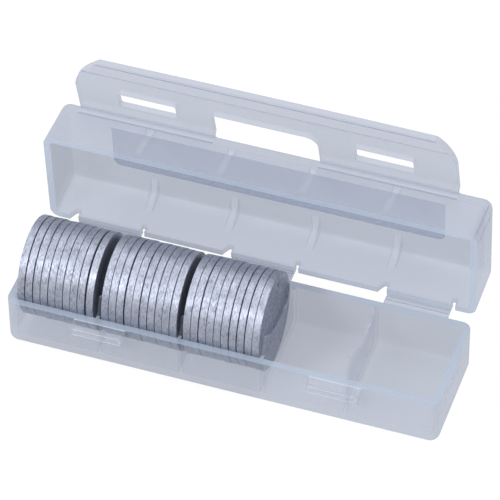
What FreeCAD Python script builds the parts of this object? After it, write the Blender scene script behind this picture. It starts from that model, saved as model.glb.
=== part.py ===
import FreeCAD, Part
import math
import os

os.makedirs("parts", exist_ok=True)

V = FreeCAD.Vector
X_AXIS = V(1, 0, 0)

# All sizes in mm. Origin: centre of the tray's underside, +X along the case, -Y the latch side.

# Coins the case is made for: plain discs, ten to a stack.
coin_dia = 20.0
coin_thick = 1.5
coin_gap = 0.09
coins_per_stack = 10
stacks = 3
coin_sides = 56

# Case
wall = 1.4
divider_thick = 0.7
stack_play = 0.543
end_extra = 1.02
floor_thick = 1.4
side_gap = 0.2
lid_gap = 0.2
tray_height = 11.3
corner_r = 2.0
tray_edge_r = 1.9
lid_edge_r = 1.6
inner_corner_r = 0.8
inner_edge_r = 0.35
rim_gap = 0.06
over = 5.0
lid_draft = 1.2

# The inside is as long as five stacks, their play and the four dividers; the end places are a little longer.
stack_length = coins_per_stack * coin_thick + (coins_per_stack - 1) * coin_gap
middle_clear = stack_length + stack_play
end_clear = middle_clear + end_extra
length = 3 * middle_clear + 2 * end_clear + 4 * divider_thick + 2 * wall
depth = coin_dia + 2 * side_gap + 2 * wall
closed_height = floor_thick + coin_dia + lid_gap + wall
lid_height = closed_height - tray_height
half_l = length / 2
half_d = depth / 2
inner_l = length - 2 * wall
inner_d = depth - 2 * wall
coin_lean = 1.5
coin_yaw = 0.9
lean = math.radians(coin_lean)
coin_z = floor_thick + coin_dia / 2 * math.cos(lean) + coin_thick / 2 * math.sin(lean)

# Dividers: upright walls with a hollow top edge and two horns that stand above the rim.
divider_near = (middle_clear + divider_thick) / 2
divider_offset_x = -0.15
divider_xs = tuple(divider_offset_x + step * divider_near for step in (-3, -1, 1, 3))
horn_front_in = 2.1
horn_back_in = 1.4
horn_foot_in = 0.5
horn_front_y = horn_front_in - coin_dia / 2
horn_front_z = tray_height + 4.4
horn_back_y = coin_dia / 2 - horn_back_in
horn_back_z = tray_height + 2.0
horn_foot_y = coin_dia / 2 - horn_foot_in
hollow_y = 1.0
hollow_z = tray_height - 0.4
horn_tip_r = 0.5
divider_edge_cut = 0.2

# Stacks: left face of the first coin from the compartment's left wall, then the gaps between its ten coins.
# The coins lean a little to the left at the top and at the back, as they have settled.
stack_lead = (0.5, 0.205, 0.205)
stack_gaps = (
    (0.15, 0.12, 0.10, 0.06, 0.03, 0.08, 0.03, 0.08, 0.28),
    (0.03, 0.08, 0.20, 0.03, 0.12, 0.10, 0.08, 0.03, 0.09),
    (0.03, 0.15, 0.03, 0.03, 0.08, 0.10, 0.15, 0.14, 0.03),
)
coin_shift_y = (0.03, -0.05, 0.06, 0.0, -0.07, 0.04, 0.08, -0.03, 0.05, -0.06)

# Catches: two plain blocks on the tray's front wall, level with the rim.
catch_offset_x = -0.4
catch_inset = 20.45
catch_pitch = length - 2 * catch_inset
catch_half_l = 5.4
catch_proud = 2.4
catch_high = 2.25
catch_edge_r = 0.35
catch_root = 0.4

# Lid hinge: three straps behind the rim.
strap_width = 13.2
strap_inset = 12.2
strap_pitch = half_l - strap_inset
strap_offset_x = 0.4
strap_thick = 0.5
lid_axis_y = half_d + 1.24
lid_axis_z = tray_height - 1.0
lid_open = 86.15
strap_reach = 0.8
strap_pad_near = 1.26
strap_pad_far = 2.55
strap_pad_high = 1.2
notch_width = 0.9
notch_depth = 1.9
notch_chamfer = 0.9
notch_slope = 1.6
notch_past = 0.6

# Lid gussets: webs in the two long corners, hollowed round the coins.
gusset_thick = 1.6
gusset_hollow_r = coin_dia / 2 + 1.5
gusset_from_rim = 2.0

# Bare recess on the outside of the lid's broad panel.
recess_inset = 9.9
recess_half_l = half_l - recess_inset
recess_from_latch = 4.8
recess_width = 10.7
recess_deep = 0.3
recess_r = 1.6

# Latch flap
flap_offset_x = -1.4
flap_inset = 5.5
flap_half_l = half_l - flap_inset
flap_length = 18.0
flap_thick = 1.2
flap_fold = 10.9
flap_axis_out = 0.4
flap_axis_in = 1.2
flap_root_gap = 0.2
flap_groove = 0.9
flap_land = 1.9
cut_half_l = 10.9
cut_height = 8.3
cut_r = 2.6
cut_small_r = 0.8
slot_inset = 20.3
slot_pitch = length - 2 * slot_inset
slot_half_l = 6.0
slot_near = 4.1
slot_far = 8.3
slot_r = 0.4
bead_back = 3.5
bead_near = flap_length - bead_back
bead_proud = 0.6
bead_slope = 0.4
bead_far = flap_length - 0.6
bead_root = 0.3
# free corners, each a curve by four points: in from the end, back from the free edge
flap_left_corner = ((0, 9.5), (0.3, 5.5), (3.2, 2.4), (6.0, 0))
flap_right_corner = ((0, 7.7), (0.4, 4.0), (2.3, 1.1), (3.8, 0))
flap_bow = 0.25


def box(x0, x1, y0, y1, z0, z1):
    return Part.makeBox(x1 - x0, y1 - y0, z1 - z0, V(x0, y0, z0))


def edges_where(shape, test):
    picked = []
    for edge in shape.Edges:
        points = [vertex.Point for vertex in edge.Vertexes]
        points.append(edge.valueAt((edge.FirstParameter + edge.LastParameter) / 2))
        if all(test(p) for p in points):
            picked.append(edge)
    return picked


def is_upright(edge):
    if len(edge.Vertexes) != 2:
        return False
    a, b = (vertex.Point for vertex in edge.Vertexes)
    return abs(a.x - b.x) < 1e-6 and abs(a.y - b.y) < 1e-6 and abs(a.z - b.z) > 1e-6


def rounded_box(lx, ly, z0, z1, upright_r, end_r, end_z):
    # a box with rounded upright edges and a rounded end at end_z
    body = box(-lx / 2, lx / 2, -ly / 2, ly / 2, z0, z1)
    body = body.makeFillet(upright_r, [e for e in body.Edges if is_upright(e)])
    return body.makeFillet(end_r, edges_where(body, lambda p: abs(p.z - end_z) < 1e-6))


def leaning_box(lx, y_back, z0, z1, y_low, y_top, upright_r, end_r):
    # a box with its latch side leaning inward, from y_low at z0 to y_top at z1, with its top edges rounded
    body = plate_yz([(y_low, z0), (y_back, z0), (y_back, z1), (y_top, z1)], 0, lx)
    rising = [e for e in body.Edges if abs(e.Vertexes[0].Z - e.Vertexes[1].Z) > 1]
    body = body.makeFillet(upright_r, rising)
    return body.makeFillet(end_r, edges_where(body, lambda p: abs(p.z - z1) < 1e-6))


def plate_yz(points, x_mid, thick):
    wire = Part.makePolygon([V(x_mid - thick / 2, y, z) for y, z in points + points[:1]])
    return Part.Face(wire).extrude(V(thick, 0, 0))


def tray_divider(x_mid):
    x0 = x_mid - divider_thick / 2
    reach = inner_d / 2 + wall / 2
    foot_z = floor_thick / 2
    front_foot = V(x0, -horn_foot_y, tray_height)
    front_tip = V(x0, horn_front_y, horn_front_z)
    middle = V(x0, hollow_y, hollow_z)
    back_tip = V(x0, horn_back_y, horn_back_z)
    back_foot = V(x0, horn_foot_y, tray_height)
    edges = [
        Part.makeLine(V(x0, -reach, foot_z), V(x0, -reach, tray_height)),
        Part.makeLine(V(x0, -reach, tray_height), front_foot),
        Part.makeLine(front_foot, front_tip),
        Part.Arc(front_tip, middle, back_tip).toShape(),
        Part.makeLine(back_tip, back_foot),
        Part.makeLine(back_foot, V(x0, reach, tray_height)),
        Part.makeLine(V(x0, reach, tray_height), V(x0, reach, foot_z)),
        Part.makeLine(V(x0, reach, foot_z), V(x0, -reach, foot_z)),
    ]
    plate = Part.Face(Part.Wire(edges)).extrude(V(divider_thick, 0, 0))
    across = [e for e in plate.Edges if abs(e.Vertexes[0].X - e.Vertexes[-1].X) > 0.1]
    tips = [e for e in across if e.Vertexes[0].Z > tray_height + 1]
    plate = plate.makeFillet(horn_tip_r, tips)
    rim = edges_where(plate, lambda p: p.z > hollow_z - 0.1 and abs(p.y) < horn_foot_y + 0.01)
    rim = [e for e in rim if abs(e.Vertexes[0].X - e.Vertexes[-1].X) < 1e-6]
    return plate.makeChamfer(divider_edge_cut, rim)


def tray_catch(x_mid):
    front = -half_d - catch_proud
    low_z = tray_height - catch_high
    block = box(x_mid - catch_half_l, x_mid + catch_half_l, front, -half_d + catch_root, low_z, tray_height)
    edges = [e for e in block.Edges if all(abs(v.Y - front) < 1e-6 for v in e.Vertexes)]
    return block.makeFillet(catch_edge_r, edges)


def strap_xs():
    return tuple(strap_offset_x + step * strap_pitch for step in (-1, 0, 1))


def build_tray():
    outer = rounded_box(length, depth, 0, tray_height, corner_r, tray_edge_r, 0)
    top = tray_height + over
    hollow = rounded_box(inner_l, inner_d, floor_thick, top, inner_corner_r, inner_edge_r, floor_thick)
    tray = outer.cut(hollow)
    for x in divider_xs:
        tray = tray.fuse(tray_divider(x))
    for side in (-1, 1):
        tray = tray.fuse(tray_catch(catch_offset_x + side * catch_pitch / 2))
    for x in strap_xs():
        half = strap_width / 2
        y_end = lid_axis_y + strap_reach
        z0 = tray_height - strap_thick
        tray = tray.fuse(box(x - half, x + half, half_d - wall / 2, y_end, z0, tray_height))
    return tray.removeSplitter()


def lid_gusset(x_mid, side):
    # a web in the corner between the broad panel and a long wall, cut back to a circle round the coins
    y_in = side * (inner_d / 2 + wall / 2)
    y0, y1 = sorted((0.0, y_in))
    x0 = x_mid - gusset_thick / 2
    web = box(x0, x0 + gusset_thick, y0, y1, tray_height + gusset_from_rim, closed_height - wall / 2)
    start = V(x_mid - gusset_thick, 0, coin_z)
    round_cut = Part.makeCylinder(gusset_hollow_r, gusset_thick * 2, start, X_AXIS)
    return web.cut(round_cut)


def flap_axis_closed():
    return V(0, flap_edge_y() - flap_axis_out, closed_height - flap_axis_in)


def flap_segments():
    left = flap_offset_x - flap_half_l
    right = flap_offset_x + flap_half_l
    cut_left = flap_offset_x - cut_half_l
    cut_right = flap_offset_x + cut_half_l
    return ((left, cut_left), (cut_right, right))


def build_lid_closed():
    rim_z = tray_height + rim_gap
    panel_z = closed_height - wall
    hollow_low = tray_height - over
    slope = lid_draft / (closed_height - rim_z)
    edge_y = flap_edge_y()
    outer = leaning_box(length, half_d, rim_z, closed_height, -half_d, edge_y, corner_r, lid_edge_r)
    y_in = inner_d / 2
    y_low = slope * (hollow_low - rim_z) - y_in
    y_top = slope * (panel_z - rim_z) - y_in
    hollow = leaning_box(inner_l, y_in, hollow_low, panel_z, y_low, y_top, inner_corner_r, inner_edge_r)
    lid = outer.cut(hollow)
    for x in divider_xs:
        for side in (-1, 1):
            lid = lid.fuse(lid_gusset(x, side).common(outer))
    # square land for the flap's fold, with its outer corner cut away so that the flap can fold back
    axis = flap_axis_closed()
    for x0, x1 in flap_segments():
        y_end = axis.y + flap_root_gap
        y_top = y_end + flap_groove
        z_low = closed_height - flap_thick
        z_top = closed_height
        y_land = edge_y + flap_land
        groove_z = z_top - flap_groove
        points = [(y_end, z_low), (y_end, groove_z), (y_top, z_top), (y_land, z_top), (y_land, z_low)]
        lid = lid.fuse(plate_yz(points, (x0 + x1) / 2, x1 - x0))
    # strap pads on the back wall, and a notch at each side of every strap
    for x in strap_xs():
        lid = lid.fuse(strap_pad(x))
    for x in strap_xs():
        for side in (-1, 1):
            lid = lid.cut(strap_notch(x, side))
    lo = edge_y + recess_from_latch
    far = lo + recess_width
    recess = box(-recess_half_l, recess_half_l, lo, far, closed_height - recess_deep, closed_height + 1)
    far_corners = [e for e in recess.Edges if is_upright(e) and abs(e.Vertexes[0].Y - far) < 1e-6]
    lid = lid.cut(recess.makeFillet(recess_r, far_corners))
    return lid.removeSplitter()


def flap_edge_y():
    # the latch side of the lid's broad panel
    return -half_d + lid_draft


def strap_pad(x):
    # drawn where it lies with the lid open, then turned to the closed lid's place
    half = strap_width / 2
    y0 = lid_axis_y + strap_pad_near
    y1 = lid_axis_y + strap_pad_far
    z0 = tray_height - strap_thick
    pad = box(x - half, x + half, y0, y1, z0, z0 + strap_thick + strap_pad_high)
    pad.rotate(V(0, lid_axis_y, lid_axis_z), X_AXIS, lid_open)
    return pad


def strap_notch(x, side):
    half = strap_width / 2
    x0 = x + side * half
    x1 = x + side * (half + notch_width)
    lo, hi = sorted((x0, x1))
    y0 = half_d - wall - notch_past
    low = tray_height - 1
    top = tray_height + notch_depth
    cut = box(lo, hi, y0, half_d + 3, low, top)
    if side < 0:
        x2 = x1 - notch_chamfer
        corners = [V(x1, y0, top), V(x2, y0, top - notch_slope), V(x2, y0, low), V(x1, y0, low)]
        slope = Part.makePolygon(corners + corners[:1])
        cut = cut.fuse(Part.Face(slope).extrude(V(0, wall + 4, 0)))
    return cut


def flap_outline():
    # drawn flat: u along the case, v away from the fold
    root = flap_axis_out + flap_root_gap

    def at(u, v):
        return V(flap_offset_x + u, flap_edge_y() - v, 0)

    def corner(side, poles):
        curve = Part.BezierCurve()
        curve.setPoles([at(side * (flap_half_l - u), flap_length - v) for u, v in poles])
        return curve.toShape()

    free_left = at(-flap_half_l + flap_left_corner[3][0], flap_length)
    free_right = at(flap_half_l - flap_right_corner[3][0], flap_length)
    edges = [
        Part.makeLine(at(-flap_half_l, root), at(-flap_half_l, flap_length - flap_left_corner[0][1])),
        corner(-1, flap_left_corner),
        Part.Arc(free_left, at(0, flap_length + flap_bow), free_right).toShape(),
        corner(1, flap_right_corner),
        Part.makeLine(at(flap_half_l, flap_length - flap_right_corner[0][1]), at(flap_half_l, root)),
        Part.makeLine(at(flap_half_l, root), at(-flap_half_l, root)),
    ]
    return Part.Wire(Part.__sortEdges__(edges))


def build_flap_flat():
    edge_y = flap_edge_y()
    low = closed_height - flap_thick
    face = Part.Face(flap_outline())
    face.translate(V(0, 0, low))
    flap = face.extrude(V(0, 0, flap_thick))
    # wedge bead along the free edge, on the inner face, as long as the flap there
    near = edge_y - bead_near
    tip = edge_y - bead_far
    inside = low + bead_root
    crest = (near - bead_slope, low - bead_proud)
    bead_points = [(near, inside), (near, low), crest, (tip, low), (tip, inside)]
    bead = plate_yz(bead_points, flap_offset_x, 2 * flap_half_l + 4)
    face.translate(V(0, 0, -2))
    flap = flap.fuse(bead.common(face.extrude(V(0, 0, 3))))
    # cut-out at the fold
    far = edge_y - cut_height
    right_x = flap_offset_x + cut_half_l
    cut = box(right_x - 2 * cut_half_l, right_x, far, edge_y + 1, low - 2, closed_height + 2)
    for x_side, radius in ((right_x, cut_r), (right_x - 2 * cut_half_l, cut_small_r)):
        outer_corner = [e for e in cut.Edges if is_upright(e) and abs(e.Vertexes[0].Y - far) < 1e-6]
        outer_corner = [e for e in outer_corner if abs(e.Vertexes[0].X - x_side) < 1e-6]
        cut = cut.makeFillet(radius, outer_corner)
    flap = flap.cut(cut)
    # the two slots, above the catches when the case is closed
    for side in (-1, 1):
        x_mid = flap_offset_x + side * slot_pitch / 2
        x0 = x_mid - slot_half_l
        y0, y1 = edge_y - slot_far, edge_y - slot_near
        slot = box(x0, x0 + 2 * slot_half_l, y0, y1, low - 2, closed_height + 2)
        slot = slot.makeFillet(slot_r, [e for e in slot.Edges if is_upright(e)])
        flap = flap.cut(slot)
    # outer corner of the root, so that the flap can fold back
    root_y = edge_y - flap_axis_out - flap_root_gap
    points = [(root_y - flap_groove, closed_height + 0.01), (root_y + 0.01, closed_height + 0.01),
              (root_y + 0.01, closed_height - flap_groove)]
    flap = flap.cut(plate_yz(points, flap_offset_x, 2 * flap_half_l + 4))
    return flap.removeSplitter()


def coin_places():
    places = []
    lefts = [-inner_l / 2] + [x + divider_thick / 2 for x in divider_xs]
    for stack in range(stacks):
        x = lefts[stack] + stack_lead[stack]
        for i in range(coins_per_stack):
            places.append(V(x, coin_shift_y[(i * 3 + stack * 7) % len(coin_shift_y)], coin_z))
            x += coin_thick + stack_gaps[stack][i % len(stack_gaps[stack])]
    return places


def build_coin(place):
    # a plain disc with enough sides to read as round
    corners = []
    for i in range(coin_sides):
        turn = 2 * math.pi * i / coin_sides
        corners.append(place + V(0, coin_dia / 2 * math.cos(turn), coin_dia / 2 * math.sin(turn)))
    corners.append(corners[0])
    coin = Part.Face(Part.makePolygon(corners)).extrude(V(coin_thick, 0, 0))
    centre = place + V(coin_thick / 2, 0, 0)
    coin.rotate(centre, V(0, 1, 0), -coin_lean)
    coin.rotate(centre, V(0, 0, 1), coin_yaw)
    return coin


def turn_open(shape):
    shape.rotate(V(0, lid_axis_y, lid_axis_z), X_AXIS, -lid_open)
    return shape


tray = build_tray()
lid = turn_open(build_lid_closed())
flap = build_flap_flat()
flap.rotate(flap_axis_closed(), X_AXIS, flap_fold)
flap = turn_open(flap)

tray.exportStep("parts/tray.step")
lid.exportStep("parts/lid.step")
flap.exportStep("parts/latch_flap.step")
for number, place in enumerate(coin_places(), start=1):
    coin = build_coin(place)
    coin.exportStep("parts/coin_%02d.step" % number)

axis = flap_axis_closed()
axis = axis.sub(V(0, lid_axis_y, lid_axis_z))
turn = math.radians(lid_open)
flap_y = lid_axis_y + axis.y * math.cos(turn) + axis.z * math.sin(turn)
flap_z = lid_axis_z - axis.y * math.sin(turn) + axis.z * math.cos(turn)
print("lid axis", lid_axis_y, lid_axis_z, "flap axis", round(flap_y, 4), round(flap_z, 4))
for name, shape in (("tray", tray), ("lid", lid), ("flap", flap)):
    print(name, shape.isValid(), len(shape.Solids), shape.BoundBox)
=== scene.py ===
"""Looks for the hinged coin case: frosted tray, lid and latch flap, with three stacks of aluminium discs."""

import math
from collections import namedtuple

import bmesh
import bpy
from mathutils import Euler, Matrix, Vector


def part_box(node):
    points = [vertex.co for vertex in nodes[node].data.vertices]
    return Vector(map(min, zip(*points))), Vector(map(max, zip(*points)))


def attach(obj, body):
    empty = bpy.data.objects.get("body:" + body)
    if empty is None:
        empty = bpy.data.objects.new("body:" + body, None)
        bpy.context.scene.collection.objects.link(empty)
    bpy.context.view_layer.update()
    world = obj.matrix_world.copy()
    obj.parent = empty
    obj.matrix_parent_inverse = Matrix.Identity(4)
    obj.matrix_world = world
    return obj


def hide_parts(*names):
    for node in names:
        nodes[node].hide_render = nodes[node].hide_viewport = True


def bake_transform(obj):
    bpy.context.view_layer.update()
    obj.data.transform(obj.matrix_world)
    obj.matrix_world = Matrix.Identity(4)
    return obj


MM = 0.001

# Sizes shared with the part's source, in millimetres and degrees. Y and Z are those of the closed case.
COIN_RADIUS = 10.0
COIN_THICK = 1.5
COIN_LEAN = 1.5
COIN_YAW = 0.9
WALL = 1.4
TRAY_TOP = 11.3
RIM_Z = TRAY_TOP + 0.06
CLOSED_HEIGHT = 23.0
HALF_DEPTH = 11.6
HALF_LENGTH = 44.7
DIVIDER_XS = (-25.73, -8.68, 8.38, 25.43)
CATCH_XS = (-24.65, 23.85)
CATCH_HALF = 5.4
CATCH_FRONT = -HALF_DEPTH - 2.4
CATCH_BOTTOM = TRAY_TOP - 2.25
STRAP_XS = (-32.1, 0.4, 32.9)
STRAP_WIDTH = 13.2
LID_AXIS = (HALF_DEPTH + 1.24, TRAY_TOP - 1.0)
LID_OPEN = 86.15
LID_DRAFT = 1.2
LATCH_EDGE = LID_DRAFT - HALF_DEPTH
RECESS_HALF = 34.8
RECESS_NEAR = LATCH_EDGE + 4.8
RECESS_FAR = RECESS_NEAR + 10.7
RECESS_Z = CLOSED_HEIGHT - 0.3
RECESS_CORNER = 1.6
FLAP_AXIS = (LATCH_EDGE - 0.4, CLOSED_HEIGHT - 1.2)
FLAP_FOLD = 10.9
FLAP_X = -1.4
FLAP_HALF = 39.2
FLAP_THICK = 1.2
CUT_HALF = 10.9
BEAD_NEAR = 14.5
BEAD_FAR = 17.4

# The flap meets the lid on both sides of its finger cut-out.
FLAP_SIDES = ((FLAP_X - FLAP_HALF, FLAP_X - CUT_HALF), (FLAP_X + CUT_HALF, FLAP_X + FLAP_HALF))

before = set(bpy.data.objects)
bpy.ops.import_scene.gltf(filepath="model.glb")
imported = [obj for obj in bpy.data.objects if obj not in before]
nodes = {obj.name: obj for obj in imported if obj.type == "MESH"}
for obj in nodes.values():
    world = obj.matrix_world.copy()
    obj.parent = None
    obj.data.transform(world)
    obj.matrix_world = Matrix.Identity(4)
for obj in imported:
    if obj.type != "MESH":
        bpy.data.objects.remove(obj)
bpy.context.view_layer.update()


def srgb(code):
    """A colour written as sRGB hex, as the linear values that the shaders take."""
    parts = [int(code[i:i + 2], 16) / 255 for i in (1, 3, 5)]
    return [c / 12.92 if c <= 0.04045 else ((c + 0.055) / 1.055) ** 2.4 for c in parts] + [1.0]


def per_metre(size):
    """The scale of a pattern that repeats every so many millimetres."""
    return 1 / (size * MM)


def add(tree, kind, settings=None, values=None, links=None):
    """Adds one node: settings are its options, values what its inputs hold, links what feeds its inputs."""
    node = tree.nodes.new(kind)
    for name, value in (settings or {}).items():
        setattr(node, name, value)
    for socket, value in (values or {}).items():
        node.inputs[socket].default_value = value
    for socket, source in (links or {}).items():
        tree.links.new(source, node.inputs[socket])
    return node


def new_material(name):
    """A material with an empty node tree."""
    material = bpy.data.materials.new(name)
    material.use_nodes = True
    material.node_tree.nodes.clear()
    return material, material.node_tree


def turned(point, axis, degrees):
    """A (y, z) point turned about an axis along +X."""
    y, z = point[0] - axis[0], point[1] - axis[1]
    c, s = math.cos(math.radians(degrees)), math.sin(math.radians(degrees))
    return (axis[0] + y * c - z * s, axis[1] + y * s + z * c)


def opened(point):
    """A (y, z) point of the closed lid, where it lies with the lid as photographed."""
    return turned(point, LID_AXIS, -LID_OPEN)


def unfolded(point):
    """A (y, z) point of the flap, drawn level with the closed lid's panel, where it lies as photographed."""
    return opened(turned(point, FLAP_AXIS, FLAP_FOLD))


def straight(start, end, steps):
    """Evenly spaced (y, z) points from start to end."""
    return [(start[0] + (end[0] - start[0]) * i / steps, start[1] + (end[1] - start[1]) * i / steps)
            for i in range(steps + 1)]


def as_piece(bm, name, material):
    """Turns a bmesh in millimetres into an object in metres, at the origin."""
    bmesh.ops.scale(bm, vec=(MM, MM, MM), verts=bm.verts)
    bmesh.ops.recalc_face_normals(bm, faces=bm.faces)
    mesh = bpy.data.meshes.new(name)
    bm.to_mesh(mesh)
    bm.free()
    piece = bpy.data.objects.new(name, mesh)
    bpy.context.scene.collection.objects.link(piece)
    mesh.materials.append(material)
    return piece


def strip(name, x_mid, width, path, thick, material):
    """A thin strip, as wide as given along X, that follows (y, z) points."""
    bm = bmesh.new()
    verts = [bm.verts.new((x_mid - width / 2, y, z)) for y, z in path]
    edges = [bm.edges.new(pair) for pair in zip(verts, verts[1:])]
    out = bmesh.ops.extrude_edge_only(bm, edges=edges)
    moved = [v for v in out["geom"] if isinstance(v, bmesh.types.BMVert)]
    bmesh.ops.translate(bm, verts=moved, vec=(width, 0, 0))
    bmesh.ops.solidify(bm, geom=bm.faces, thickness=thick)
    return as_piece(bm, name, material)


# Polypropylene

# The colour sockets of a Mix node.
MIX_A = 6
MIX_B = 7
MIX_RESULT = 2

# Seventeen flow waves in each 100 mm, and a grain drawn at 0.4 mm, coarser than the real one, to show at all.
FLOW_WAVE = 100 / 17
GRAIN = 0.4
GRAIN_SHARE = 0.15
SURFACE_RELIEF = 0.4
# How far from a corner, in mm, the plastic hides more and is painted darker and bluer, a painted shade.
CORNER_REACH = 0.3
# The painted shade at corners and edges: darker and bluer than the plastic.
CORNER_SHADE = "#93a0b6"
# How many mm under a rim's height a face still counts as the top of the wall.
RIM_SLACK = 0.1
# How much of such a face's normal looks the rim's way, at the least.
FACES_ALONG = 0.9
# What the thin horns hide of what the rest of the tray hides.
HORN_SHARE = 0.65

# The top faces of walls look along direction, lie at height mm along it, hide more by share and are painted
# colour, a painted shade.
# With reach, only those within so many mm of the middle, front and back, count.
Rim = namedtuple("Rim", "direction height share colour reach", defaults=(None,))


def moulded_bump(tree, place):
    """The slow flow waves of the moulding under its fine grain."""
    waves = add(tree, "ShaderNodeTexNoise", None, {"Scale": per_metre(FLOW_WAVE), "Detail": 2.0},
                {"Vector": place})
    grain = add(tree, "ShaderNodeTexNoise", None, {"Scale": per_metre(GRAIN), "Detail": 1.0},
                {"Vector": place})
    both = add(tree, "ShaderNodeMath", {"operation": "MULTIPLY_ADD"}, {1: GRAIN_SHARE},
               {0: grain.outputs["Fac"], 2: waves.outputs["Fac"]})
    bump = add(tree, "ShaderNodeBump", None, {"Strength": 0.12, "Distance": SURFACE_RELIEF * MM},
               {"Height": both.outputs[0]})
    return bump.outputs["Normal"]


def corner_shade_mask(tree):
    """From 0 on a flat face to 1 at corners, where light goes a longer way through the plastic and shade is
    painted.
    """
    rounded = add(tree, "ShaderNodeBevel", {"samples": 4}, {"Radius": CORNER_REACH * MM})
    plain = add(tree, "ShaderNodeNewGeometry")
    bend = add(tree, "ShaderNodeVectorMath", {"operation": "DOT_PRODUCT"}, None,
               {0: rounded.outputs["Normal"], 1: plain.outputs["Normal"]})
    corner_shade = add(tree, "ShaderNodeMapRange", None,
                {"From Min": 0.98, "From Max": 0.75, "To Min": 0.0, "To Max": 1.0},
                {"Value": bend.outputs["Value"]})
    return corner_shade.outputs["Result"]


def wall_top(tree, coords, rim):
    """1 on the top faces of walls that the rim describes, 0 elsewhere."""
    place = coords.outputs["Object"]
    facing = add(tree, "ShaderNodeVectorMath", {"operation": "DOT_PRODUCT"}, {1: rim.direction},
                 {0: coords.outputs["Normal"]})
    towards = add(tree, "ShaderNodeMath", {"operation": "GREATER_THAN"}, {1: FACES_ALONG},
                  {0: facing.outputs["Value"]})
    height = add(tree, "ShaderNodeVectorMath", {"operation": "DOT_PRODUCT"}, {1: rim.direction}, {0: place})
    beyond = add(tree, "ShaderNodeMath", {"operation": "GREATER_THAN"}, {1: (rim.height - RIM_SLACK) * MM},
                 {0: height.outputs["Value"]})
    top = add(tree, "ShaderNodeMath", {"operation": "MULTIPLY"}, None,
              {0: towards.outputs[0], 1: beyond.outputs[0]})
    if rim.reach is None:
        return top.outputs[0]
    across = add(tree, "ShaderNodeVectorMath", {"operation": "DOT_PRODUCT"}, {1: (0, 1, 0)}, {0: place})
    away = add(tree, "ShaderNodeMath", {"operation": "ABSOLUTE"}, None, {0: across.outputs["Value"]})
    inside = add(tree, "ShaderNodeMath", {"operation": "LESS_THAN"}, {1: rim.reach * MM},
                 {0: away.outputs[0]})
    near_top = add(tree, "ShaderNodeMath", {"operation": "MULTIPLY"}, None,
                   {0: top.outputs[0], 1: inside.outputs[0]})
    return near_top.outputs[0]


def frosted_polypropylene(name, tint, hides, edge_hides, deeper=0.12, rim=None, horns_above=None):
    """Clear injection-moulded polypropylene: milky, faintly blue, softly shiny, and what is behind shows.

    hides is the share of what is behind it that a wall hides, seen face on, and edge_hides seen edge on, a
    longer way through the plastic. A corner hides more, by deeper, and is painted darker and bluer, a painted
    shade. The top of a wall, given by rim, is seen through the wall's whole height: it hides more, by the
    rim's share, and is painted the rim's colour, a painted shade. The thin horns of the dividers, over
    horns_above, hide less.
    """
    material, tree = new_material(name)
    coords = add(tree, "ShaderNodeTexCoord")
    corner_shade = corner_shade_mask(tree)
    facing = add(tree, "ShaderNodeLayerWeight", None, {"Blend": 0.5})
    edge_on = add(tree, "ShaderNodeMapRange", None,
                  {"From Min": 0.35, "From Max": 1.0, "To Min": hides, "To Max": edge_hides},
                  {"Value": facing.outputs["Facing"]})
    dense = add(tree, "ShaderNodeMath", {"operation": "MULTIPLY_ADD", "use_clamp": True}, {1: deeper},
                {0: corner_shade, 2: edge_on.outputs["Result"]})
    # painted shade: corners and edges are mixed towards the darker, bluer corner colour
    corner_shaded = add(tree, "ShaderNodeMix", {"data_type": "RGBA"}, {MIX_A: srgb(tint), MIX_B: srgb(CORNER_SHADE)},
                 {"Factor": corner_shade})
    alpha = dense.outputs[0]
    paint = corner_shaded.outputs[MIX_RESULT]
    if rim:
        top = wall_top(tree, coords, rim)
        through_wall = add(tree, "ShaderNodeMath", {"operation": "MULTIPLY_ADD", "use_clamp": True},
                           {1: rim.share}, {0: top, 2: alpha})
        alpha = through_wall.outputs[0]
        # painted shade: the tops of walls take the rim's darker, bluer colour
        rim_shaded = add(tree, "ShaderNodeMix", {"data_type": "RGBA"}, {MIX_B: srgb(rim.colour)},
                     {"Factor": top, MIX_A: paint})
        paint = rim_shaded.outputs[MIX_RESULT]
    if horns_above:
        height = add(tree, "ShaderNodeVectorMath", {"operation": "DOT_PRODUCT"}, {1: (0, 0, 1)},
                     {0: coords.outputs["Object"]})
        raised = add(tree, "ShaderNodeMath", {"operation": "GREATER_THAN"}, {1: horns_above * MM},
                     {0: height.outputs["Value"]})
        share = add(tree, "ShaderNodeMapRange", None, {"To Min": 1.0, "To Max": HORN_SHARE},
                    {"Value": raised.outputs[0]})
        thinned = add(tree, "ShaderNodeMath", {"operation": "MULTIPLY"}, None,
                      {0: alpha, 1: share.outputs["Result"]})
        alpha = thinned.outputs[0]
    bump = moulded_bump(tree, coords.outputs["Object"])
    shader = add(tree, "ShaderNodeBsdfPrincipled", None,
                 {"Roughness": 0.42, "IOR": 1.49, "Specular IOR Level": 0.35},
                 {"Base Color": paint, "Alpha": alpha, "Normal": bump})
    add(tree, "ShaderNodeOutputMaterial", None, None, {"Surface": shader.outputs["BSDF"]})
    return material


# Which way the open lid's rim looks, and how far out it is that way.
LID_RIM_DIRECTION = (0, *turned((0, -1), (0, 0), -LID_OPEN))
lid_rim_point = opened((0, RIM_Z))
lid_rim_height = LID_RIM_DIRECTION[1] * lid_rim_point[0] + LID_RIM_DIRECTION[2] * lid_rim_point[1]

TINT = "#b9bfcb"
HIDES = 0.2
EDGE_HIDES = 0.3
# The rims' colours are painted shade, darker and bluer than the plastic.
tray_rim = Rim((0, 0, 1), TRAY_TOP, 0.48, "#98a4b4", HALF_DEPTH + 0.05)
lid_rim = Rim(LID_RIM_DIRECTION, lid_rim_height, 0.2, "#b0bccd")

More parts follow.
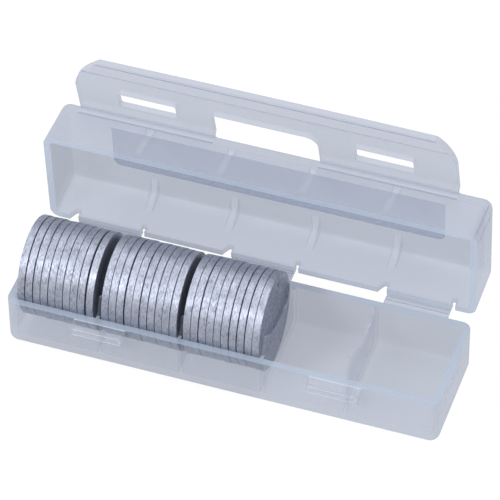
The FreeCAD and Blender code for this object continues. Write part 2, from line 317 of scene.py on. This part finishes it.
plastic = frosted_polypropylene("frosted_polypropylene", TINT, HIDES, EDGE_HIDES)
# Painted highlight and painted shade: lighter and darker copies of the plastic for the fine lines further
# down.
edge_highlight = frosted_polypropylene("polypropylene_edge_highlight", "#dfe4ec", 0.3, 0.42)
edge_shade = frosted_polypropylene("polypropylene_edge_shade", "#8793a9", 0.4, 0.55)
# Painted highlight: a lighter copy of the plastic for the gussets' ribs.
rib_highlight = frosted_polypropylene("highlighted_rib_polypropylene", "#d2d9e4", 0.14, 0.2)
# The recess's floor: darker and bluer than the plastic round it.
recess_field_tone = frosted_polypropylene("darker_bluer_recess_polypropylene", "#94a9cb", 0.36, 0.44)
finishes = {
    "tray": frosted_polypropylene("tray_polypropylene", TINT, 0.15, 0.26, rim=tray_rim,
                                  horns_above=TRAY_TOP + 0.1),
    "lid": frosted_polypropylene("lid_polypropylene", TINT, HIDES, EDGE_HIDES, rim=lid_rim),
    # The flap is painted lighter than the same plastic on the lid, painted light.
    "latch_flap": frosted_polypropylene("flap_polypropylene", "#c9cdd7", HIDES, EDGE_HIDES, deeper=0.3),
}

for node_name, shading in finishes.items():
    nodes[node_name].data.materials.clear()
    nodes[node_name].data.materials.append(shading)


# Discs

# Specks twenty-four to each 10 mm, drawn out by the rubbing: finer along X, longer round the edge.
SPECK = 10 / 24
RUBBED = (2.2, 0.6, 0.6)
BLOTCH = 2.0
BLOTCH_SHARE = 0.3
DENT_DEPTH = 0.1
METAL_TONES = ((0.46, "#6a707d"), (0.6, "#979caa"), (0.84, "#b6bac6"))


def worn_aluminium(name):
    """Struck aluminium, handled: soft grey metal, fine dents and specks, brighter where it has rubbed."""
    material, tree = new_material(name)
    place = add(tree, "ShaderNodeTexCoord").outputs["Object"]
    along = add(tree, "ShaderNodeMapping", None, {"Scale": RUBBED}, {"Vector": place})
    specks = add(tree, "ShaderNodeTexNoise", None,
                 {"Scale": per_metre(SPECK), "Detail": 4.0, "Roughness": 0.75},
                 {"Vector": along.outputs["Vector"]})
    blotches = add(tree, "ShaderNodeTexNoise", None,
                   {"Scale": per_metre(BLOTCH), "Detail": 2.0, "Roughness": 0.6}, {"Vector": place})
    wear = add(tree, "ShaderNodeMath", {"operation": "MULTIPLY_ADD"}, {1: BLOTCH_SHARE},
               {0: blotches.outputs["Fac"], 2: specks.outputs["Fac"]}).outputs[0]
    tone = add(tree, "ShaderNodeValToRGB", None, None, {"Fac": wear})
    dark, middle, bright = METAL_TONES
    stops = tone.color_ramp.elements
    stops[0].position, stops[0].color = dark[0], srgb(dark[1])
    stops[1].position, stops[1].color = bright[0], srgb(bright[1])
    stops.new(middle[0]).color = srgb(middle[1])
    rough = add(tree, "ShaderNodeMapRange", None,
                {"From Min": 0.45, "From Max": 0.85, "To Min": 0.66, "To Max": 0.46}, {"Value": wear})
    bump = add(tree, "ShaderNodeBump", None, {"Strength": 0.4, "Distance": DENT_DEPTH * MM}, {"Height": wear})
    shader = add(tree, "ShaderNodeBsdfPrincipled", None, {"Metallic": 1.0}, {
        "Base Color": tone.outputs["Color"],
        "Roughness": rough.outputs["Result"],
        "Normal": bump.outputs["Normal"],
    })
    add(tree, "ShaderNodeOutputMaterial", None, None, {"Surface": shader.outputs["BSDF"]})
    return material


# Half of a disc's profile as (depth below its border, radius): face, faint ring, border, rounded edge.
FACE_DEEP = 0.1
RING_RADIUS = 6.1
RING_HALF = 0.2
RING_HIGH = 0.03
BORDER_FOOT = 8.5
BORDER_TOP = 8.85
HALF_PROFILE = [
    (FACE_DEEP, 0.0),
    (FACE_DEEP, RING_RADIUS - RING_HALF),
    (FACE_DEEP - RING_HIGH, RING_RADIUS),
    (FACE_DEEP, RING_RADIUS + RING_HALF),
    (FACE_DEEP, BORDER_FOOT),
    (0.0, BORDER_TOP),
    (0.0, COIN_RADIUS - 0.14),
    (0.03, COIN_RADIUS - 0.05),
    (0.1, COIN_RADIUS),
]
COIN_PROFILE = HALF_PROFILE + [(COIN_THICK - x, r) for x, r in reversed(HALF_PROFILE)]
COIN_STEPS = 72
SHARP_ANGLE = 20


def disc(name, centre, material):
    """A disc spun about +X, then leaned and yawed as the stack has settled, and put at its centre in mm."""
    bm = bmesh.new()
    verts = [bm.verts.new((x - COIN_THICK / 2, 0, r)) for x, r in COIN_PROFILE]
    edges = [bm.edges.new(pair) for pair in zip(verts, verts[1:])]
    bmesh.ops.spin(bm, geom=verts + edges, cent=(0, 0, 0), axis=(1, 0, 0), angle=2 * math.pi,
                   steps=COIN_STEPS, use_merge=True)
    bmesh.ops.remove_doubles(bm, verts=bm.verts, dist=0.001)
    for degrees, axis in ((-COIN_LEAN, "Y"), (COIN_YAW, "Z")):
        turn = Matrix.Rotation(math.radians(degrees), 3, axis)
        bmesh.ops.rotate(bm, cent=(0, 0, 0), matrix=turn, verts=bm.verts)
    bmesh.ops.translate(bm, vec=centre, verts=bm.verts)
    piece = as_piece(bm, name, material)
    for face in piece.data.polygons:
        face.use_smooth = True
    piece.data.set_sharp_from_angle(angle=math.radians(SHARP_ANGLE))
    return piece


aluminium = worn_aluminium("worn_aluminium")
for node_name in sorted(nodes):
    if node_name.startswith("coin_"):
        low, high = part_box(node_name)
        piece = disc(node_name.replace("coin", "disc"), (low + high) / 2 / MM, aluminium)
        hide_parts(node_name)
        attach(piece, "tray")


# Recess on the outside of the lid's broad panel: a plate over its floor is darker and bluer than the plastic
# round it.
FIELD_GAP = 0.03
FIELD_LOW = 0.01
FIELD_HIGH = 0.05


def recess_field():
    """A thin plate just over the recess's floor, with its two far corners rounded, opened with the lid."""
    low = Vector((FIELD_GAP - RECESS_HALF, RECESS_NEAR + FIELD_GAP, RECESS_Z + FIELD_LOW))
    high = Vector((RECESS_HALF - FIELD_GAP, RECESS_FAR - FIELD_GAP, RECESS_Z + FIELD_HIGH))
    bm = bmesh.new()
    bmesh.ops.create_cube(bm, size=1.0)
    bmesh.ops.scale(bm, vec=high - low, verts=bm.verts)
    upright = [e for e in bm.edges if e.verts[0].co.z * e.verts[1].co.z < 0]
    far = [e for e in upright if e.verts[0].co.y > 0]
    bmesh.ops.bevel(bm, geom=far, offset=RECESS_CORNER, segments=6, profile=0.5, affect="EDGES", material=-1)
    bmesh.ops.translate(bm, vec=(low + high) / 2, verts=bm.verts)
    opening = Matrix.Rotation(math.radians(-LID_OPEN), 3, "X")
    bmesh.ops.rotate(bm, cent=(0, *LID_AXIS), matrix=opening, verts=bm.verts)
    return as_piece(bm, "recess_field", recess_field_tone)


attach(recess_field(), "lid")


# Living hinges: thin skins close the gap at each strap and along the flap's fold.
# The gaps in the solids and the stretch that bends, as (y, z) points.
SKIN_FROM = (13.55, TRAY_TOP - 0.1)
SKIN_TO = (14.2, TRAY_TOP - 0.1)
WEB_ROOT = opened((LATCH_EDGE - 0.15, CLOSED_HEIGHT - 1.1))
WEB_TIP = unfolded((LATCH_EDGE - 0.7, CLOSED_HEIGHT - 1.1))
SIDE_PLAY = 0.1
STRAP_SKIN_THICK = 0.3
STRAP_STEPS = 8
WEB_THICK = 0.25
WEB_STEPS = 6

for number, x_mid in enumerate(STRAP_XS, start=1):
    path = straight(SKIN_FROM, SKIN_TO, STRAP_STEPS)
    strap = strip("strap_skin_%d" % number, x_mid, STRAP_WIDTH - SIDE_PLAY, path, STRAP_SKIN_THICK, plastic)
    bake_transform(strap)

for number, (x0, x1) in enumerate(FLAP_SIDES, start=1):
    path = straight(WEB_ROOT, WEB_TIP, WEB_STEPS)
    web = strip("flap_web_%d" % number, (x0 + x1) / 2, x1 - x0 - SIDE_PLAY, path, WEB_THICK, plastic)
    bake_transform(web)


# Painted highlights and painted shade along the moulding's edges, ridges and creases: strips a few tenths of
# a millimetre wide.
LINE_THICK = 0.03
FINE_THICK = 0.02
LINE_WIDTH = 0.25
STRAP_LINE_WIDTH = 0.2
STRAP_LINE_Z = TRAY_TOP + 0.02
RIB_WIDTH = 1.5
RIB_THICK = 0.1
RIB_SPAN = (20.8, 13.8)


def latch_wall_y(z):
    """The outer face of the closed lid's latch wall, which leans with its draft."""
    return -HALF_DEPTH + LID_DRAFT * (z - RIM_Z) / (CLOSED_HEIGHT - RIM_Z)


def along_latch_wall(span, inward):
    """A path from one height to another, so far inward of the latch wall's outer face, with the lid open."""
    return [opened((latch_wall_y(z) + inward, z)) for z in span]


# painted shade lines at the foot and the tip of the bead on the flap's inner face: its span along the flap,
# then out from the lid
bead_shade_lines = {
    "bead_foot_shade": (-37.2, 37.6, BEAD_NEAR - 0.4, BEAD_NEAR - 0.1),
    "bead_tip_shade": (-34.2, 35.4, BEAD_FAR, BEAD_FAR + 0.2),
}
inner_face_z = CLOSED_HEIGHT - FLAP_THICK - 0.05
for name, (u0, u1, v0, v1) in bead_shade_lines.items():
    path = [unfolded((LATCH_EDGE - v, inner_face_z)) for v in (v0, v1)]
    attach(strip(name, FLAP_X + (u0 + u1) / 2, u1 - u0, path, LINE_THICK, edge_shade), "flap")

# two ridges under the flap's fold, on the outside of the latch wall: the upper one a painted highlight, the
# lower one a painted shade
for number, (x0, x1) in enumerate(FLAP_SIDES, start=1):
    for place_name, z_high, shading in (("upper", 21.0, edge_highlight), ("lower", 20.4, edge_shade)):
        path = along_latch_wall((z_high, z_high - LINE_WIDTH), -0.04)
        name = "fold_ridge_%s_%d" % (place_name, number)
        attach(strip(name, (x0 + x1) / 2, x1 - x0, path, LINE_THICK, shading), "lid")

# gussets run on along the inside of the latch wall, as thin ribs painted lighter than the plastic, a painted
# highlight
for number, x_mid in enumerate(DIVIDER_XS, start=1):
    path = along_latch_wall(RIB_SPAN, WALL + 0.06)
    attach(strip("gusset_rib_%d" % number, x_mid, RIB_WIDTH, path, RIB_THICK, rib_highlight), "lid")

# where the hinge straps bend, faint lines along the case: two painted highlights with a painted shade between
# them
strap_shading_lines = (("light", 0.5, edge_highlight), ("dark", 1.0, edge_shade), ("outer", 1.5, edge_highlight))
for number, x_mid in enumerate(STRAP_XS, start=1):
    for line_name, out, shading in strap_shading_lines:
        y = HALF_DEPTH + out
        path = [(y, STRAP_LINE_Z), (y + STRAP_LINE_WIDTH, STRAP_LINE_Z)]
        name = "strap_%s_line_%d" % (line_name, number)
        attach(strip(name, x_mid, STRAP_WIDTH - 0.4, path, FINE_THICK, shading), "tray")

# painted shade on the round corner between the latch wall and the right end, and in the crease beside it on
# the end
corner_path = along_latch_wall((21.2, 12.4), 0.5)
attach(strip("lid_corner_shade", HALF_LENGTH - 0.6, 0.28, corner_path, LINE_THICK, edge_shade), "lid")
crease_path = along_latch_wall((20.6, 12.8), 2.6)
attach(strip("lid_end_crease_shade", HALF_LENGTH + 0.02, 0.04, crease_path, 0.25, edge_shade), "lid")

# painted highlights on the rounded edges of the catches: the middle of each line along X, its width there,
# and its path
face_y = CATCH_FRONT - 0.03
high_z = TRAY_TOP - 0.3
low_z = CATCH_BOTTOM + 0.2
root_z = TRAY_TOP + 0.03
long_edge = 2 * CATCH_HALF - 0.6
for number, x_mid in enumerate(CATCH_XS, start=1):
    lines = {
        "front": (x_mid, long_edge, [(face_y, high_z), (face_y, high_z - LINE_WIDTH)]),
        "bottom": (x_mid, long_edge, [(face_y, low_z + LINE_WIDTH), (face_y, low_z)]),
        "root": (x_mid, 2 * CATCH_HALF, [(-HALF_DEPTH - 0.3, root_z), (-HALF_DEPTH - 0.05, root_z)]),
        "end": (x_mid + CATCH_HALF - 0.45, LINE_WIDTH, [(face_y, high_z), (face_y, low_z)]),
    }
    for edge_name, (x, width, path) in lines.items():
        name = "catch_%s_edge_%d" % (edge_name, number)
        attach(strip(name, x, width, path, FINE_THICK, edge_highlight), "tray")


# Floor, room and lamps, in metres
FLOOR_HALF = 3.0
FLOOR_Z = -0.0002
FLOOR_GLOW = 0.92
# How much of the painted shade seen through the plastic glows rather than takes the lamps.
SHADE_SHEET_GLOW = 0.85
ROOM_LIGHT = 0.68
LAMPS_AIM = (0, 0, 0.02)


def studio_floor():
    """White where it is seen by itself, also in metal; pale blue grey where it is seen through the plastic.

    The second is painted shade, a darker floor colour that shows only through the plastic, picked by the
    Transparent Depth of the Light Path.
    """
    material, tree = new_material("studio_floor")
    rays = add(tree, "ShaderNodeLightPath")
    white_paint = add(tree, "ShaderNodeBsdfDiffuse", None, {"Color": srgb("#f4f5f7")})
    white_glow = add(tree, "ShaderNodeEmission", None, {"Color": (1, 1, 1, 1), "Strength": 1.0})
    # painted shade: the darker floor seen only through the plastic
    shade_sheet_paint = add(tree, "ShaderNodeBsdfDiffuse", None, {"Color": srgb("#b4b8c2")})
    shade_sheet_glow = add(tree, "ShaderNodeEmission", None, {"Color": srgb("#bbbfca"), "Strength": 1.0})
    shade_sheet = add(tree, "ShaderNodeMixShader", None, {"Fac": SHADE_SHEET_GLOW},
                {1: shade_sheet_paint.outputs["BSDF"], 2: shade_sheet_glow.outputs["Emission"]})
    mirrored = add(tree, "ShaderNodeMath", {"operation": "MAXIMUM"}, None,
                   {0: rays.outputs["Is Camera Ray"], 1: rays.outputs["Is Glossy Ray"]})
    seen = add(tree, "ShaderNodeMath", {"operation": "MAXIMUM"}, None,
               {0: mirrored.outputs[0], 1: rays.outputs["Is Transmission Ray"]})
    share = add(tree, "ShaderNodeMath", {"operation": "MULTIPLY"}, {1: FLOOR_GLOW}, {0: seen.outputs[0]})
    white = add(tree, "ShaderNodeMixShader", None, None,
                {"Fac": share.outputs[0], 1: white_paint.outputs["BSDF"], 2: white_glow.outputs["Emission"]})
    through = add(tree, "ShaderNodeMath", {"operation": "GREATER_THAN"}, {1: 0.5},
                  {0: rays.outputs["Transparent Depth"]})
    mixed = add(tree, "ShaderNodeMixShader", None, None,
                {"Fac": through.outputs[0], 1: white.outputs["Shader"], 2: shade_sheet.outputs["Shader"]})
    add(tree, "ShaderNodeOutputMaterial", None, None, {"Surface": mixed.outputs["Shader"]})
    return material


def floor_plane():
    """The floor, a little under the tray so that the two don't flicker."""
    bm = bmesh.new()
    bmesh.ops.create_grid(bm, x_segments=1, y_segments=1, size=FLOOR_HALF)
    bmesh.ops.translate(bm, verts=bm.verts, vec=(0, 0, FLOOR_Z))
    mesh = bpy.data.meshes.new("floor")
    bm.to_mesh(mesh)
    bm.free()
    floor = bpy.data.objects.new("floor", mesh)
    bpy.context.scene.collection.objects.link(floor)
    mesh.materials.append(studio_floor())
    return floor


def pale_room():
    """Pale light from all round, and plain white where the room itself is seen."""
    world = bpy.data.worlds.new("pale_room")
    bpy.context.scene.world = world
    world.use_nodes = True
    tree = world.node_tree
    tree.nodes.clear()
    rays = add(tree, "ShaderNodeLightPath")
    seen = add(tree, "ShaderNodeMath", {"operation": "MAXIMUM"}, None,
               {0: rays.outputs["Is Camera Ray"], 1: rays.outputs["Is Transmission Ray"]})
    strength = add(tree, "ShaderNodeMapRange", None, {"To Min": ROOM_LIGHT, "To Max": 1.0},
                   {"Value": seen.outputs[0]})
    pale = add(tree, "ShaderNodeBackground", None, {"Color": srgb("#f6f8fc")},
               {"Strength": strength.outputs["Result"]})
    white = add(tree, "ShaderNodeBackground", None, {"Color": (1, 1, 1, 1), "Strength": 1.0})
    mixed = add(tree, "ShaderNodeMixShader", None, None,
                {"Fac": seen.outputs[0], 1: pale.outputs["Background"], 2: white.outputs["Background"]})
    add(tree, "ShaderNodeOutputWorld", None, None, {"Surface": mixed.outputs["Shader"]})


def lamp(name, where, size, watts):
    """A soft rectangular lamp that looks at the case."""
    data = bpy.data.lights.new(name, "AREA")
    data.shape = "RECTANGLE"
    data.size, data.size_y = size
    data.energy = watts
    piece = bpy.data.objects.new(name, data)
    bpy.context.scene.collection.objects.link(piece)
    piece.location = Vector(where)
    piece.rotation_euler = (Vector(where) - Vector(LAMPS_AIM)).to_track_quat("Z", "Y").to_euler()


floor_plane()
pale_room()
lamp("key_front_left", (-0.5, -0.65, 0.7), (0.3, 0.22), 7.5)
lamp("fill_right", (0.8, -0.2, 0.5), (0.5, 0.5), 2.0)
lamp("top", (0.0, 0.25, 0.9), (0.7, 0.5), 4.2)


# The photograph's camera, found by fitting the case's edges: its place in mm, and its turns about X, Y and Z
# in degrees. The focal length is in pixels of the photograph.
CAMERA_PLACE = (177.738, -495.192, 560.504)
CAMERA_TURNS = (44.6949, 0.5495, 18.9131)
FOCAL_PIXELS = 3864.82
PHOTO_WIDTH = 500
SENSOR_WIDTH = 36.0

camera_data = bpy.data.cameras.new("camera")
camera_data.sensor_width = SENSOR_WIDTH
camera_data.lens = FOCAL_PIXELS * SENSOR_WIDTH / PHOTO_WIDTH
camera_data.clip_end = 10.0
camera = bpy.data.objects.new("camera", camera_data)
bpy.context.scene.collection.objects.link(camera)
camera_turn = Euler([math.radians(turn) for turn in CAMERA_TURNS], "XYZ").to_matrix().to_4x4()
camera.matrix_world = Matrix.Translation(Vector(CAMERA_PLACE) * MM) @ camera_turn
bpy.context.scene.camera = camera
bpy.context.scene.view_settings.view_transform = "Standard"
